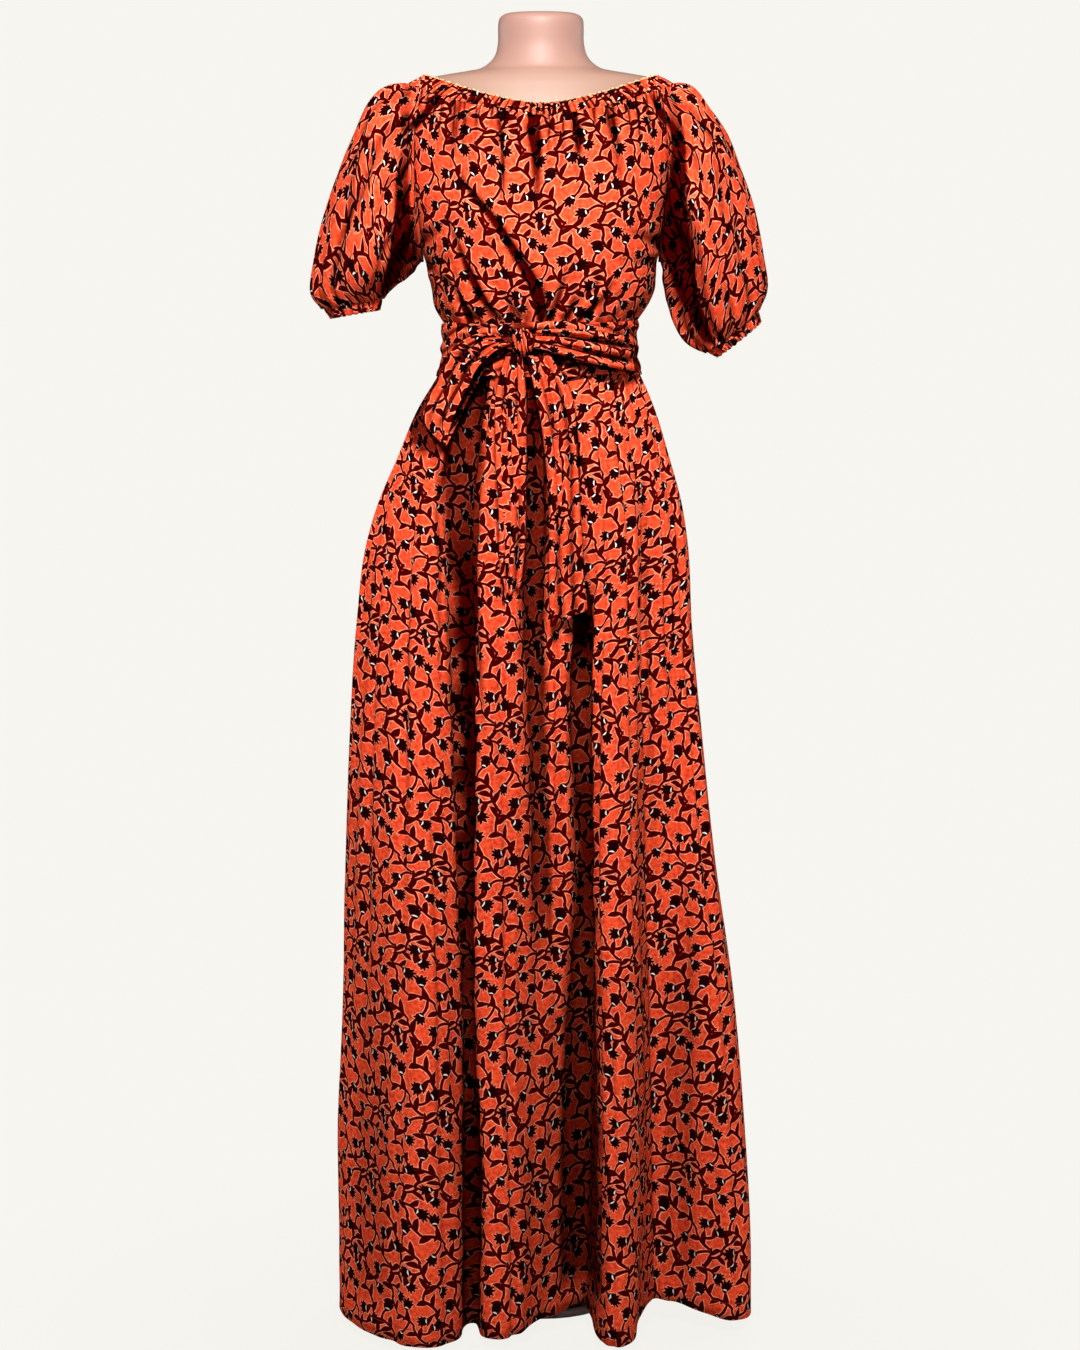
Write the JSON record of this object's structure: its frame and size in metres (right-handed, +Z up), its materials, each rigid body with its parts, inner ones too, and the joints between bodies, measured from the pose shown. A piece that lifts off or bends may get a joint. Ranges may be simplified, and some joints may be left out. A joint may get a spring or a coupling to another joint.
{
  "type": "wax print maxi dress on limbless dress form with stand",
  "caption": "Floor-length gathered maxi dress with elastic off-shoulder neck, puff sleeves and a tied bow sash, worn by a limbless dress form on a pole stand.",
  "frame": {"origin": "centre of the stand base's underside, on the floor", "axes": "+Z up along the pole, -Y towards the dress's front, +X towards the wearer's left"},
  "size_m": [0.5338, 0.395, 1.549],
  "materials": {
    "wax_print_cotton": "orange-red cotton wax print with a dark maroon vine and flower pattern",
    "form_plastic": "semi-gloss pinkish beige",
    "white_powder_coat": "satin white powder coat over steel"
  },
  "bodies": {
    "root": {"bodice_front": "wax_print_cotton", "bodice_back": "wax_print_cotton", "sleeve_right": "wax_print_cotton", "sleeve_left": "wax_print_cotton", "cuff_right": "wax_print_cotton", "cuff_left": "wax_print_cotton", "neck_casing": "wax_print_cotton", "skirt_front": "wax_print_cotton", "skirt_back": "wax_print_cotton", "sash_wrap": "wax_print_cotton", "sash_knot": "wax_print_cotton", "bow_loop_right": "wax_print_cotton", "bow_loop_left": "wax_print_cotton", "sash_tail_right": "wax_print_cotton", "sash_tail_left": "wax_print_cotton", "form_body": "form_plastic", "stand_pole": "white_powder_coat", "stand_base": "white_powder_coat"}
  },
  "joints": []
}
